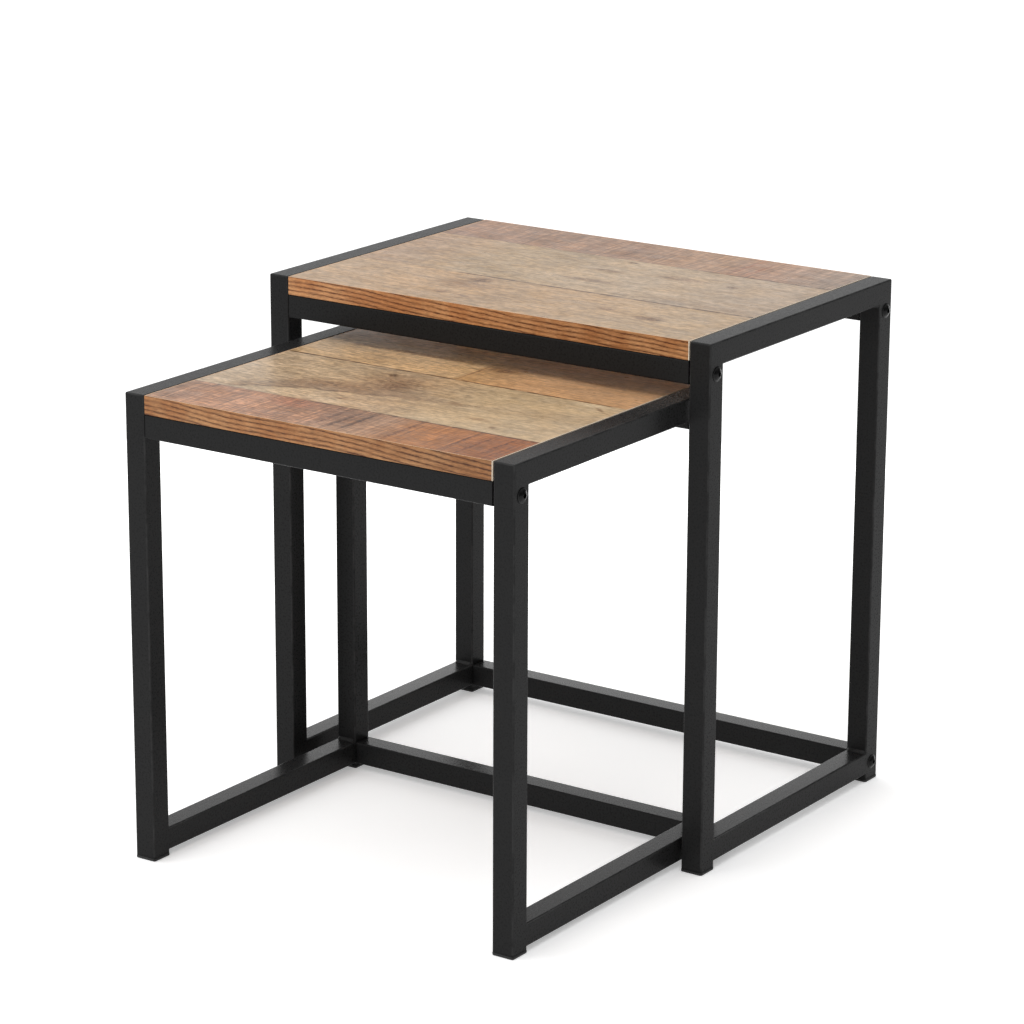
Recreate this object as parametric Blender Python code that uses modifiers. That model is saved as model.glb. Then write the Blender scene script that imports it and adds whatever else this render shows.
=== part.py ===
"""Nesting tables: a large side table and a smaller one that slides under it.

Each table is two welded side frames of square steel tube, three cross tubes
bolted between them, and a board that lies on the two upper cross tubes.
Metres, +Z up, fronts of both tables towards -Y, floor at Z = 0.
The origin is on the floor under the middle of the pair as it stands, with the
small table pulled out towards the front.
"""
import math

import bmesh
import bpy
from mathutils import Matrix, Vector

# The two tables: overall sizes, and how far their lowest tubes are above the floor.
BIG = {"name": "big", "width": 0.478, "depth": 0.315, "height": 0.485, "clearance": 0.0078}
SMALL = {"name": "small", "width": 0.411, "depth": 0.320, "height": 0.431, "clearance": 0.0053}

PULL_OUT = 0.253         # small table's front ahead of the big table's
SIDE_SHIFT = 0.0055      # small table stands this far right of the big one's middle

# Steel tube.
TUBE = 0.0213            # outside, square
WALL = 0.0012
TUBE_CORNER = 0.0015     # outside corner radius
CORNER_SEGMENTS = 2

# Board.
BOARD_THICKNESS = 0.017
BOARD_END_GAP = 0.0006   # to the side frames
BOARD_ARRIS = 0.0005

# Fits.
GAP = 0.0003             # between pieces that touch
TUBE_END_GAP = 0.0010    # cross tube to leg

# Bolts through the legs: M6, low domed head, hexagon socket.
BOLT_RADIUS = 0.003
BOLT_LENGTH = 0.034
BOLT_CHAMFER = 0.0006
BOLT_HEAD_RADIUS = 0.0068
BOLT_HEAD_RIM = 0.0009
BOLT_HEAD_RISE = 0.0023
SOCKET_FLATS = 0.004
SOCKET_DEPTH = 0.0018

# Threaded block in each end of a cross tube.
NUT_LENGTH = 0.008
NUT_INSET = 0.0005

# Screws that hold the board: 4 mm, pan head, cross recess.
SCREW_RADIUS = 0.002
SCREW_IN_BOARD = 0.011
SCREW_POINT = 0.004
SCREW_HEAD_RADIUS = 0.004
SCREW_HEAD_RIM = 0.0008
SCREW_HEAD_RISE = 0.0016
RECESS_WIDTH = 0.0009
RECESS_LENGTH = 0.0042
RECESS_DEPTH = 0.0012
SCREW_PLACE = 0.27       # fraction of the width, either side of the middle

# Plastic foot caps pushed into the legs.
FOOT_FLANGE = 0.003
FOOT_PROUD = 0.0004      # flange beyond the tube, each side
FOOT_STUB = 0.012
FOOT_STUB_WALL = 0.0018
FOOT_ARRIS = 0.0006

BOLT_SEGMENTS = 16
SCREW_SEGMENTS = 12
HOLE_SEGMENTS = 12
DOME_STEPS = 3
SMOOTH_ANGLE = math.radians(35)
CUT_PAST = 0.002         # how far a cutter runs beyond the surface it cuts

SIDES = {"left": -1, "right": 1}
ENDS = {"front": -1, "rear": 1}


def clear_scene():
    for obj in list(bpy.data.objects):
        bpy.data.objects.remove(obj, do_unlink=True)


def new_collection(name):
    collection = bpy.data.collections.new(name)
    bpy.context.scene.collection.children.link(collection)
    return collection


def principled(name, colour, roughness, metallic):
    material = bpy.data.materials.new(name)
    material.use_nodes = True
    shader = material.node_tree.nodes["Principled BSDF"]
    shader.inputs["Base Color"].default_value = (*colour, 1.0)
    shader.inputs["Roughness"].default_value = roughness
    shader.inputs["Metallic"].default_value = metallic
    material.diffuse_color = (*colour, 1.0)
    return material


# Shapes ------------------------------------------------------------------

def shape(name, bm):
    """Turn a bmesh into an object, kept in the cutters' collection until it is finished."""
    mesh = bpy.data.meshes.new(name)
    bm.to_mesh(mesh)
    bm.free()
    obj = bpy.data.objects.new(name, mesh)
    obj.hide_render = True
    obj.display_type = "WIRE"
    cutters.objects.link(obj)
    return obj


def box(name, low, high, rounded_along=None, radius=0.0, segments=1):
    """Box between two corners, with the edges along one axis rounded if asked."""
    low, high = Vector(low), Vector(high)
    bm = bmesh.new()
    bmesh.ops.create_cube(bm, size=1.0)
    bmesh.ops.scale(bm, vec=high - low, verts=bm.verts)
    bmesh.ops.translate(bm, vec=(low + high) / 2, verts=bm.verts)
    if rounded_along is not None:
        along = [edge for edge in bm.edges
                 if edge.verts[0].co[rounded_along] != edge.verts[1].co[rounded_along]]
        bmesh.ops.bevel(bm, geom=along, offset=radius, segments=segments, profile=0.5,
                        affect="EDGES")
    return shape(name, bm)


def rod(name, radius, start, end, segments=HOLE_SEGMENTS):
    """Cylinder from one point to another."""
    start, end = Vector(start), Vector(end)
    turn = Vector((0, 0, 1)).rotation_difference(end - start).to_matrix().to_4x4()
    bm = bmesh.new()
    bmesh.ops.create_cone(bm, cap_ends=True, segments=segments, radius1=radius, radius2=radius,
                          depth=(end - start).length,
                          matrix=Matrix.Translation((start + end) / 2) @ turn)
    return shape(name, bm)


def turned(name, profile, steps):
    """Solid turned about Z from (radius, height) points that run top to bottom."""
    bm = bmesh.new()
    verts = [bm.verts.new((radius, 0.0, height)) for radius, height in profile]
    for upper, lower in zip(verts, verts[1:]):
        bm.edges.new((upper, lower))
    obj = shape(name, bm)
    screw = obj.modifiers.new("turn", "SCREW")
    screw.steps = steps
    screw.render_steps = steps
    screw.use_merge_vertices = True
    screw.merge_threshold = 0.00001
    return obj


def dome(head_radius, rim, rise):
    """Profile of a low domed head, from its crown down to its rim."""
    sphere = (head_radius ** 2 + rise ** 2) / (2 * rise)
    widest = math.asin(head_radius / sphere)
    angles = [widest * step / DOME_STEPS for step in range(DOME_STEPS + 1)]
    return [(sphere * math.sin(angle), rim + rise - sphere * (1 - math.cos(angle)))
            for angle in angles]


def boolean(obj, tool, operation="DIFFERENCE"):
    modifier = obj.modifiers.new(tool.name, "BOOLEAN")
    modifier.operation = operation
    modifier.solver = "EXACT"
    modifier.object = tool


def bevel(obj, width, segments):
    modifier = obj.modifiers.new("edges", "BEVEL")
    modifier.width = width
    modifier.segments = segments
    modifier.limit_method = "ANGLE"
    modifier.angle_limit = SMOOTH_ANGLE


def finished_mesh(obj, material, is_round=False):
    """The mesh that an object's modifiers make, with its material on it."""
    graph = bpy.context.evaluated_depsgraph_get()
    mesh = bpy.data.meshes.new_from_object(obj.evaluated_get(graph))
    mesh.name = obj.name.removesuffix("_blank")
    mesh.materials.clear()
    mesh.materials.append(material)
    if is_round:
        mesh.shade_smooth()
        mesh.set_sharp_from_angle(angle=SMOOTH_ANGLE)
    return mesh


def place(name, mesh, table, location=(0, 0, 0), axis=(0, 0, 1)):
    """Stand a piece in its table's frame, with the mesh's own +Z along axis."""
    obj = bpy.data.objects.new(name, mesh)
    obj.parent = table
    obj.location = location
    obj.rotation_mode = "QUATERNION"
    obj.rotation_quaternion = Vector((0, 0, 1)).rotation_difference(Vector(axis))
    parts.objects.link(obj)


# Pieces ------------------------------------------------------------------

def frame_block(name, size, leg_bottom, inset):
    """Two legs with a top and a bottom tube between them, centred on X = Y = 0.

    inset moves every surface inwards, which turns the outside of the tubes
    into the hollow inside them.
    """
    half_x = TUBE / 2 - inset
    half_y = size["depth"] / 2 - inset
    leg_face = size["depth"] / 2 - TUBE + inset
    past = half_x + CUT_PAST
    block = box(name, (-half_x, -half_y, leg_bottom), (half_x, half_y, size["height"] - inset))
    window = box(name + "_window",
                 (-past, -leg_face, size["clearance"] + TUBE - inset),
                 (past, leg_face, size["height"] - TUBE + inset))
    below = box(name + "_below",
                (-past, -leg_face, leg_bottom - CUT_PAST),
                (past, leg_face, size["clearance"] + inset))
    boolean(block, window)
    boolean(block, below)
    return block


def side_frame(size, spots):
    """Welded frame of hollow tube, open under its legs and at its bolt holes."""
    name = size["name"] + "_side_frame"
    depth = size["depth"]
    frame = frame_block(name + "_blank", size, -TUBE, 0.0)
    bevel(frame, TUBE_CORNER, CORNER_SEGMENTS)
    boolean(frame, box(name + "_foot_trim", (-TUBE, -depth, -2 * TUBE), (TUBE, depth, FOOT_FLANGE)))
    boolean(frame, frame_block(name + "_hollow", size, -TUBE, WALL))
    for spot, (y, z) in spots.items():
        hole = rod(f"{name}_{spot}_hole", BOLT_RADIUS + GAP, (-TUBE, y, z), (TUBE, y, z))
        boolean(frame, hole)
    return finished_mesh(frame, steel_paint)


def cross_tube(name, length, screw_xs=()):
    """Square tube along X about the origin, drilled through where board screws pass."""
    half = TUBE / 2
    bore = half - WALL
    tube = box(name + "_blank", (-length / 2, -half, -half), (length / 2, half, half),
               rounded_along=0, radius=TUBE_CORNER, segments=CORNER_SEGMENTS)
    boolean(tube, box(name + "_bore", (-length, -bore, -bore), (length, bore, bore)))
    for index, x in enumerate(screw_xs):
        boolean(tube, rod(f"{name}_drill_{index}", SCREW_RADIUS + GAP, (x, 0, -TUBE), (x, 0, TUBE)))
    return finished_mesh(tube, steel_paint)


def board(size, screw_xs, screw_ys):
    """Board with blind holes from below for its screws; its top is at Z = 0."""
    name = size["name"] + "_board"
    half_x = size["width"] / 2 - TUBE - BOARD_END_GAP
    half_y = size["depth"] / 2
    panel = box(name + "_blank", (-half_x, -half_y, -BOARD_THICKNESS), (half_x, half_y, 0))
    bevel(panel, BOARD_ARRIS, 1)
    hole_top = SCREW_IN_BOARD + GAP - BOARD_THICKNESS
    for index, (x, y) in enumerate((x, y) for x in screw_xs for y in screw_ys):
        hole = rod(f"{name}_pilot_{index}", SCREW_RADIUS + GAP,
                   (x, y, -BOARD_THICKNESS - CUT_PAST), (x, y, hole_top))
        boolean(panel, hole)
    return finished_mesh(panel, printed_board)


def bolt():
    """Bolt with its head above Z = 0 and its shank below."""
    shank = [(BOLT_RADIUS, 0), (BOLT_RADIUS, BOLT_CHAMFER - BOLT_LENGTH),
             (BOLT_RADIUS - BOLT_CHAMFER, -BOLT_LENGTH), (0, -BOLT_LENGTH)]
    head = dome(BOLT_HEAD_RADIUS, BOLT_HEAD_RIM, BOLT_HEAD_RISE)
    obj = turned("bolt_blank", head + [(BOLT_HEAD_RADIUS, 0)] + shank, BOLT_SEGMENTS)
    crown = BOLT_HEAD_RIM + BOLT_HEAD_RISE
    socket = rod("bolt_socket", SOCKET_FLATS / math.sqrt(3), (0, 0, crown - SOCKET_DEPTH),
                 (0, 0, crown + CUT_PAST), segments=6)
    boolean(obj, socket)
    return finished_mesh(obj, bolt_black, is_round=True)


def board_screw():
    """Screw with its head above Z = 0 and its point below."""
    length = TUBE + GAP + SCREW_IN_BOARD
    shank = [(SCREW_RADIUS, 0), (SCREW_RADIUS, SCREW_POINT - length), (0, -length)]
    head = dome(SCREW_HEAD_RADIUS, SCREW_HEAD_RIM, SCREW_HEAD_RISE)
    obj = turned("board_screw_blank", head + [(SCREW_HEAD_RADIUS, 0)] + shank, SCREW_SEGMENTS)
    crown = SCREW_HEAD_RIM + SCREW_HEAD_RISE
    for name, half_x, half_y in (("a", RECESS_LENGTH / 2, RECESS_WIDTH / 2),
                                 ("b", RECESS_WIDTH / 2, RECESS_LENGTH / 2)):
        slot = box("board_screw_recess_" + name, (-half_x, -half_y, crown - RECESS_DEPTH),
                   (half_x, half_y, crown + CUT_PAST))
        boolean(obj, slot)
    return finished_mesh(obj, zinc, is_round=True)


def end_nut():
    """Threaded block for the end of a cross tube, from Z = 0 down into the tube."""
    half = TUBE / 2 - WALL - GAP
    block = box("end_nut_blank", (-half, -half, -NUT_LENGTH), (half, half, 0))
    boolean(block, rod("end_nut_thread", BOLT_RADIUS + GAP, (0, 0, -TUBE), (0, 0, TUBE)))
    return finished_mesh(block, zinc)


def foot_cap():
    """Square cap with a hollow stub that fills the leg, standing on Z = 0."""
    half = TUBE / 2 + FOOT_PROUD
    stub = TUBE / 2 - WALL - GAP
    stub_bore = stub - FOOT_STUB_WALL
    flange_top = FOOT_FLANGE - GAP
    cap = box("foot_cap_blank", (-half, -half, 0), (half, half, flange_top))
    bevel(cap, FOOT_ARRIS, 1)
    boolean(cap, box("foot_stub", (-stub, -stub, flange_top / 2), (stub, stub, FOOT_STUB)), "UNION")
    boolean(cap, box("foot_stub_bore", (-stub_bore, -stub_bore, flange_top),
                     (stub_bore, stub_bore, FOOT_STUB + CUT_PAST)))
    return finished_mesh(cap, foot_plastic)


# Assembly ----------------------------------------------------------------

def build_table(size, middle_x, middle_y):
    """One whole table, parented to an empty on the floor under its middle."""
    name = size["name"]
    table = bpy.data.objects.new(name + "_table", None)
    table.location = (middle_x, middle_y, 0)
    parts.objects.link(table)

    side_x = size["width"] / 2 - TUBE / 2
    leg_y = size["depth"] / 2 - TUBE / 2
    upper_z = size["height"] - BOARD_THICKNESS - GAP - TUBE / 2
    lower_z = size["clearance"] + TUBE / 2
    tube_length = size["width"] - 2 * (TUBE + TUBE_END_GAP)
    screw_xs = [side * SCREW_PLACE * size["width"] for side in SIDES.values()]
    screw_ys = [end * leg_y for end in ENDS.values()]

    cross_tubes = {
        "front_rail": (-leg_y, upper_z),
        "rear_rail": (leg_y, upper_z),
        "rear_stretcher": (leg_y, lower_z),
    }
    frame_mesh = side_frame(size, cross_tubes)
    rail_mesh = cross_tube(name + "_rail", tube_length, screw_xs)
    stretcher_mesh = cross_tube(name + "_stretcher", tube_length)

    place(name + "_board", board(size, screw_xs, screw_ys), table, (0, 0, size["height"]))
    for spot, (y, z) in cross_tubes.items():
        tube_mesh = stretcher_mesh if spot == "rear_stretcher" else rail_mesh
        place(f"{name}_{spot}", tube_mesh, table, (0, y, z))
        for side, sign in SIDES.items():
            outwards = (sign, 0, 0)
            bolt_x = sign * (size["width"] / 2 + GAP)
            nut_x = sign * (tube_length / 2 - NUT_INSET)
            place(f"{name}_{spot}_bolt_{side}", bolt_mesh, table, (bolt_x, y, z), outwards)
            place(f"{name}_{spot}_nut_{side}", nut_mesh, table, (nut_x, y, z), outwards)

    screw_z = upper_z - TUBE / 2 - GAP
    for side, sign in SIDES.items():
        place(f"{name}_{side}_side_frame", frame_mesh, table, (sign * side_x, 0, 0))
        for end, way in ENDS.items():
            place(f"{name}_foot_{end}_{side}", foot_mesh, table, (sign * side_x, way * leg_y, 0))
            place(f"{name}_board_screw_{end}_{side}", screw_mesh, table,
                  (sign * SCREW_PLACE * size["width"], way * leg_y, screw_z), (0, 0, -1))


clear_scene()
parts = new_collection("nesting_tables")
cutters = new_collection("cutters")

steel_paint = principled("black_powder_coat", (0.022, 0.022, 0.023), 0.45, 0.0)
printed_board = principled("printed_wood_board", (0.46, 0.31, 0.19), 0.45, 0.0)
bolt_black = principled("black_bolt", (0.018, 0.018, 0.018), 0.35, 0.0)
zinc = principled("zinc_plated_steel", (0.62, 0.62, 0.60), 0.35, 1.0)
foot_plastic = principled("black_plastic", (0.016, 0.016, 0.016), 0.6, 0.0)

bolt_mesh = bolt()
screw_mesh = board_screw()
nut_mesh = end_nut()
foot_mesh = foot_cap()

build_table(BIG, 0.0, PULL_OUT / 2)
build_table(SMALL, SIDE_SHIFT, (SMALL["depth"] - BIG["depth"] - PULL_OUT) / 2)
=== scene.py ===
"""Looks of the nesting tables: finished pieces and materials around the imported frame.

Every piece is made where the frame says it is. Boards carry a printed
reclaimed-plank pattern, placed in millimetres from the board's front left
corner: u runs to the right, v to the rear, w up from the top face. Lengths are in
metres, except inside materials, where they are in millimetres.
"""

import functools
import math

import bmesh
import bpy
from mathutils import Matrix, Vector


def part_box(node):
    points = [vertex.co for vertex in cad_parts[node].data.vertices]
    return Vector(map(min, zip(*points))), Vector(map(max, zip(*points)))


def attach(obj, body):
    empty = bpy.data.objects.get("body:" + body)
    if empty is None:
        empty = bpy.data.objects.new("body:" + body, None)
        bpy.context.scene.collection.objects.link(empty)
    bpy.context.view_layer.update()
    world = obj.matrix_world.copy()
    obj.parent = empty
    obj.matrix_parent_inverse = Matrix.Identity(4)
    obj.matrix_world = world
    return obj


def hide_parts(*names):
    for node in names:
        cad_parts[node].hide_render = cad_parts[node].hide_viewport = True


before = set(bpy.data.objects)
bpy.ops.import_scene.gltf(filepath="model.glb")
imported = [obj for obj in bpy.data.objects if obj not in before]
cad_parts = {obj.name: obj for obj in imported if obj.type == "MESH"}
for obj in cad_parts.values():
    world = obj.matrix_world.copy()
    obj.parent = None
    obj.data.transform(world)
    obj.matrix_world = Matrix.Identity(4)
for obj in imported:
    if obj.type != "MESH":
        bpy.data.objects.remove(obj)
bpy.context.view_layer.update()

SIDES = {"left": -1, "right": 1}
ENDS = ("front", "rear")
CROSS_TUBES = ("front_rail", "rear_rail", "rear_stretcher")
MM = 0.001
DEEP = 1000                    # through the board and beyond, for a mark seen from above

TUBE_CORNER = 0.0015           # outside corner radius of the square tube
TUBE_INNER_CORNER = 0.0004
TUBE_WALL = 0.0012
CORNER_SEGMENTS = 5

WELD_LEG = 0.0026              # fillet, from the corner along each tube
WELD_ROOT = 0.0004             # how far the fillet is sunk into both tubes
WELD_RIPPLE = 0.00022
WELD_PITCH = 0.0017            # from one puddle to the next
WELD_STEPS = 4                 # in each puddle
WELD_END_SIZE = 0.35           # of the full fillet, where it starts and stops
WELD_SWELL = 3.0               # how fast it grows from there
WELD_INSET = 0.7               # of the tube's corner radius, at each end

BAND = 0.0009                  # edge bands on the board
BAND_ARRIS = 0.00022
ARRIS_SEGMENTS = 2

BOLT_SEGMENTS = 48
DOME_STEPS = 8
BOLT_SHANK = 0.003             # radius
BOLT_POINT = 0.0006            # chamfer on the shank's end
BOLT_FLANGE = 0.0007
BOLT_RIM = 0.0004              # height of the flange's upright rim
BOLT_SEAT = 0.0001             # chamfer under it
BOLT_DOME_SHARE = 0.86         # of the head's radius
SOCKET_FLATS = 0.0042
SOCKET_DEPTH = 0.0019
SOCKET_CHAMFER = 0.0008

SCREW_SEGMENTS = 32
SCREW_RIM = 0.0008
SCREW_SHANK = 0.0019           # radius over the thread
SCREW_CORE = 0.0014
SCREW_POINT = 0.004
SCREW_PLAIN = 0.004            # shank without thread, under the head
THREAD_PITCH = 0.0013
RECESS_LONG = 0.0022           # half length of each slot of the cross
RECESS_WIDE = 0.00048          # and its half width
RECESS_DEPTH = 0.0013

FOOT_CORNER = 0.0022
FOOT_ARRIS = 0.0007
FOOT_GAP = 0.0003              # to the leg's end
SOLE_RIM = 0.0030
SOLE_SLOPE = 0.0008
SOLE_DISH = 0.0005

SMOOTH_ANGLE = math.radians(40)
EDGE_ANGLE = 1.0               # radians; a sharper turn than this is an edge to round
EDGE_WEAR = "edge_wear"        # mesh attribute: 1 on rounded edges, 0 on flats

# Camera: where it looks from, where to, and its lens.
VIEW_AZIMUTH = math.radians(34.66)
VIEW_ELEVATION = math.radians(16.17)
VIEW_ROLL = math.radians(0.224)
VIEW_DISTANCE = 3.3602
VIEW_TARGET = Vector((0.0501, -0.0549, 0.3105))
VIEW_LENS = 133.2
VIEW_SENSOR = 36

# Studio: white all round but for a dim part, low down on the right.
WORLD_LIGHT = 1.0
WORLD_LIGHT_DIM = 0.15
DIM_AZIMUTH = math.radians(95)    # its middle, from -Y towards +X
FLOOR_SIZE = 30
FLOOR_DROP = 0.0002               # keeps the floor clear of the feet
FLOOR_GLOW = 0.33                 # the floor shines a little, so shadows on it stay pale


# Materials ---------------------------------------------------------------

def linear(r, g, b):
    """A colour given as 0-255 screen values, as the shader wants it."""
    def one(value):
        value /= 255
        return value / 12.92 if value <= 0.04045 else ((value + 0.055) / 1.055) ** 2.4
    return (one(r), one(g), one(b), 1.0)


class Graph:
    """A material whose node tree is built by short steps; each step gives back a socket."""

    def __init__(self, name, roughness=0.5, specular=0.5, metallic=0.0):
        self.material = bpy.data.materials.new(name)
        self.material.use_nodes = True
        self.tree = self.material.node_tree
        self.shader = self.tree.nodes["Principled BSDF"]
        self.set("Roughness", roughness)
        self.set("Specular IOR Level", specular)
        self.set("Metallic", metallic)
        coordinates = self.tree.nodes.new("ShaderNodeTexCoord")
        self.place = self.scaled(coordinates.outputs["Object"], (1 / MM, 1 / MM, 1 / MM))
        self.u, self.v, self.w = self.split(self.place)

    def set(self, name, value):
        self.feed(self.shader.inputs[name], value)

    def feed(self, socket, value):
        if isinstance(value, bpy.types.NodeSocket):
            self.tree.links.new(value, socket)
        else:
            socket.default_value = value

    def split(self, vector):
        node = self.tree.nodes.new("ShaderNodeSeparateXYZ")
        self.feed(node.inputs[0], vector)
        return node.outputs

    def scaled(self, vector, scale):
        node = self.tree.nodes.new("ShaderNodeVectorMath")
        node.operation = "MULTIPLY"
        self.feed(node.inputs[0], vector)
        node.inputs[1].default_value = scale
        return node.outputs[0]

    def added(self, first, second):
        node = self.tree.nodes.new("ShaderNodeVectorMath")
        node.operation = "ADD"
        self.feed(node.inputs[0], first)
        self.feed(node.inputs[1], second)
        return node.outputs[0]

    def math(self, operation, *values):
        node = self.tree.nodes.new("ShaderNodeMath")
        node.operation = operation
        for socket, value in zip(node.inputs, values):
            self.feed(socket, value)
        return node.outputs[0]

    def total(self, *values):
        return functools.reduce(lambda first, second: self.math("ADD", first, second), values)

    def product(self, *values):
        return functools.reduce(lambda first, second: self.math("MULTIPLY", first, second), values)

    def noise_node(self, size, detail, roughness, seed, place=None):
        node = self.tree.nodes.new("ShaderNodeTexNoise")
        node.noise_dimensions = "4D"
        where = self.scaled(place or self.place, tuple(1 / length for length in size))
        self.feed(node.inputs["Vector"], where)
        node.inputs["W"].default_value = seed
        node.inputs["Scale"].default_value = 1.0
        node.inputs["Detail"].default_value = detail
        node.inputs["Roughness"].default_value = roughness
        return node

    def noise(self, size, detail, roughness, seed, place=None):
        """Noise from 0 to 1 whose features are about size = (u, v, w) long."""
        return self.noise_node(size, detail, roughness, seed, place).outputs["Fac"]

    def wobble(self, size, reach, seed):
        """The place, shifted about by up to reach."""
        colour = self.noise_node(size, 2.0, 0.5, seed).outputs["Color"]
        shift = self.added(colour, (-0.5, -0.5, -0.5))
        return self.added(self.place, self.scaled(shift, (2 * reach, 2 * reach, 0)))

    def fade(self, value, start, end, low=0.0, high=1.0):
        """low before start, high after end, and a smooth step between."""
        node = self.tree.nodes.new("ShaderNodeMapRange")
        node.interpolation_type = "SMOOTHSTEP"
        for name, number in zip(("Value", "From Min", "From Max", "To Min", "To Max"),
                                (value, start, end, low, high)):
            self.feed(node.inputs[name], number)
        return node.outputs[0]

    def mix(self, factor, first, second, blend="MIX"):
        node = self.tree.nodes.new("ShaderNodeMix")
        node.data_type = "RGBA"
        node.blend_type = blend
        self.feed(node.inputs[0], factor)
        self.feed(node.inputs[6], first)
        self.feed(node.inputs[7], second)
        return node.outputs[2]

    def ramp(self, factor, stops, between="EASE"):
        """A colour for each (position, colour), and smooth changes between."""
        node = self.tree.nodes.new("ShaderNodeValToRGB")
        node.color_ramp.interpolation = between
        elements = node.color_ramp.elements
        while len(elements) < len(stops):
            elements.new(1.0)
        for element, (position, colour) in zip(elements, stops):
            element.position = position
            element.color = colour
        self.feed(node.inputs[0], factor)
        return node.outputs[0]

    def tinted(self, colour, tint):
        return self.mix(1.0, colour, tint, "MULTIPLY")

    def gained(self, colour, amount):
        """A colour made lighter or darker by a number around 1."""
        node = self.tree.nodes.new("ShaderNodeVectorMath")
        node.operation = "SCALE"
        self.feed(node.inputs[0], colour)
        self.feed(node.inputs["Scale"], amount)
        return node.outputs[0]

    def spot(self, place, u, v, long, wide, turn, soft):
        """1 inside an ellipse on the board, fading out at its rim."""
        node = self.tree.nodes.new("ShaderNodeMapping")
        node.vector_type = "TEXTURE"
        self.feed(node.inputs["Vector"], place)
        node.inputs["Location"].default_value = (u, v, 0)
        node.inputs["Rotation"].default_value = (0, 0, math.radians(turn))
        node.inputs["Scale"].default_value = (long, wide, DEEP)
        length = self.tree.nodes.new("ShaderNodeVectorMath")
        length.operation = "LENGTH"
        self.feed(length.inputs[0], node.outputs[0])
        return self.fade(length.outputs["Value"], 1 - soft, 1 + soft, 1.0, 0.0)

    def worn(self, colour, bare, size, share):
        """The colour with patches of its edges rubbed towards another one."""
        edge = self.tree.nodes.new("ShaderNodeAttribute")
        edge.attribute_name = EDGE_WEAR
        patch = self.fade(self.noise(size, 4.0, 0.6, 7.0), 0.40, 0.60, 0.25, 1.0)
        return self.mix(self.product(edge.outputs["Fac"], patch, share), colour, bare)

    def bump(self, height, strength, depth):
        node = self.tree.nodes.new("ShaderNodeBump")
        node.inputs["Strength"].default_value = strength
        node.inputs["Distance"].default_value = depth
        self.feed(node.inputs["Height"], height)
        self.set("Normal", node.outputs[0])


def grain(graph, colour, sawn, figure, seed):
    """Wood grain over a colour: fibres, flecks and pores along u, and saw marks across."""
    place = graph.wobble((26, 26, 26), 1.2, seed + 1)

    def noise(size, number):
        return graph.noise(size, 4.0, 0.6, seed + number, place)

    def even(size, low, high, number):
        return graph.fade(noise(size, number), 0.36, 0.64, low, high)

    fibre = even((38, 1.3, 1.3), 0.80, 1.13, 2)
    clouds = even((75, 36, 36), 0.92, 1.07, 3)
    bands = even((60, 8, 8), 0.92, 1.07, 4)
    flecks = even((9, 3.4, 3.4), 0.80, 1.14, 5)
    pores = graph.fade(noise((7, 1.6, 1.6), 6), 0.33, 0.38, 0.50, 1.0)
    dark_dashes = graph.fade(noise((20, 3.2, 3.2), 11), 0.32, 0.37, 0.56, 1.0)
    pale_dashes = graph.fade(noise((14, 3.2, 3.2), 12), 0.63, 0.68, 1.0, 1.16)
    saw_waves = even((3.0, 80, 80), 0.76, 1.16, 8)
    dark_cuts = graph.fade(noise((3.0, 45, 45), 9), 0.36, 0.42, 0.60, 1.0)
    pale_cuts = graph.fade(noise((3.0, 50, 50), 10), 0.58, 0.64, 1.0, 1.22)
    warmth = graph.fade(noise((50, 30, 30), 7), 0.35, 0.65)

    colour = graph.tinted(colour, graph.mix(warmth, COOL_TINT, WARM_TINT))
    sawing = graph.math("POWER", graph.product(saw_waves, dark_cuts, pale_cuts), sawn)
    shade = graph.product(fibre, clouds, bands, flecks, pores, dark_dashes, pale_dashes, sawing)
    return graph.gained(colour, graph.math("POWER", shade, figure)), fibre


def planks(graph, size, spec, seed):
    """Colours of the planks, from the front to the rear, and how much each is saw-marked."""
    width = size.x / MM
    place_u = graph.split(graph.wobble((45, 30, 30), 7, seed + 11))[0]
    along = graph.math("DIVIDE", place_u, width)
    edge_wave = graph.noise((60, 60, 60), 2.0, 0.5, seed + 13)
    across = graph.math("ADD", graph.v, graph.fade(edge_wave, 0, 1, -JOINT_WAVE, JOINT_WAVE))
    colour, sawn = None, None
    for plank in spec["planks"]:
        tone = graph.ramp(along, [(u / width, linear(*tone)) for u, tone in plank["tones"]])
        if colour is None:
            colour, sawn = tone, plank["sawn"]
        else:
            front = plank["front"]
            beyond = graph.fade(across, front - PLANK_BLUR, front + PLANK_BLUR)
            colour = graph.mix(beyond, colour, tone)
            sawn = graph.fade(beyond, 0, 1, sawn, plank["sawn"])
    return colour, sawn


def thin_line(graph, colour, off, half_width, strength, seed):
    """Darken a colour where off, a distance in millimetres, is small; the line is broken up."""
    near = graph.fade(graph.math("ABSOLUTE", off), 0.5 * half_width, 1.5 * half_width, 1.0, 0.0)
    broken = graph.fade(graph.noise((14, 14, 14), 3.0, 0.6, seed), 0.38, 0.56, 0.45, 1.0)
    line = graph.product(near, broken, strength)
    return graph.mix(line, colour, graph.tinted(colour, LINE_TINT))


def joint_line(graph, colour, joint, seed):
    """The dark gap between two planks, from one place along it to another."""
    at, start, end, faint = joint["at"], joint["from"], joint["to"], joint["faint"]
    wave = graph.noise((70, 70, 70), 2.0, 0.5, seed)
    middle = graph.fade(wave, 0, 1, at - JOINT_WAVE, at + JOINT_WAVE)
    strength = graph.product(graph.fade(graph.u, start - 12, start + 12, faint, 1.0),
                             graph.fade(graph.u, end - 6, end + 6, 1.0, faint))
    return thin_line(graph, colour, graph.math("SUBTRACT", graph.v, middle),
                     joint.get("wide", JOINT_WIDTH), strength, seed + 1)


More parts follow.
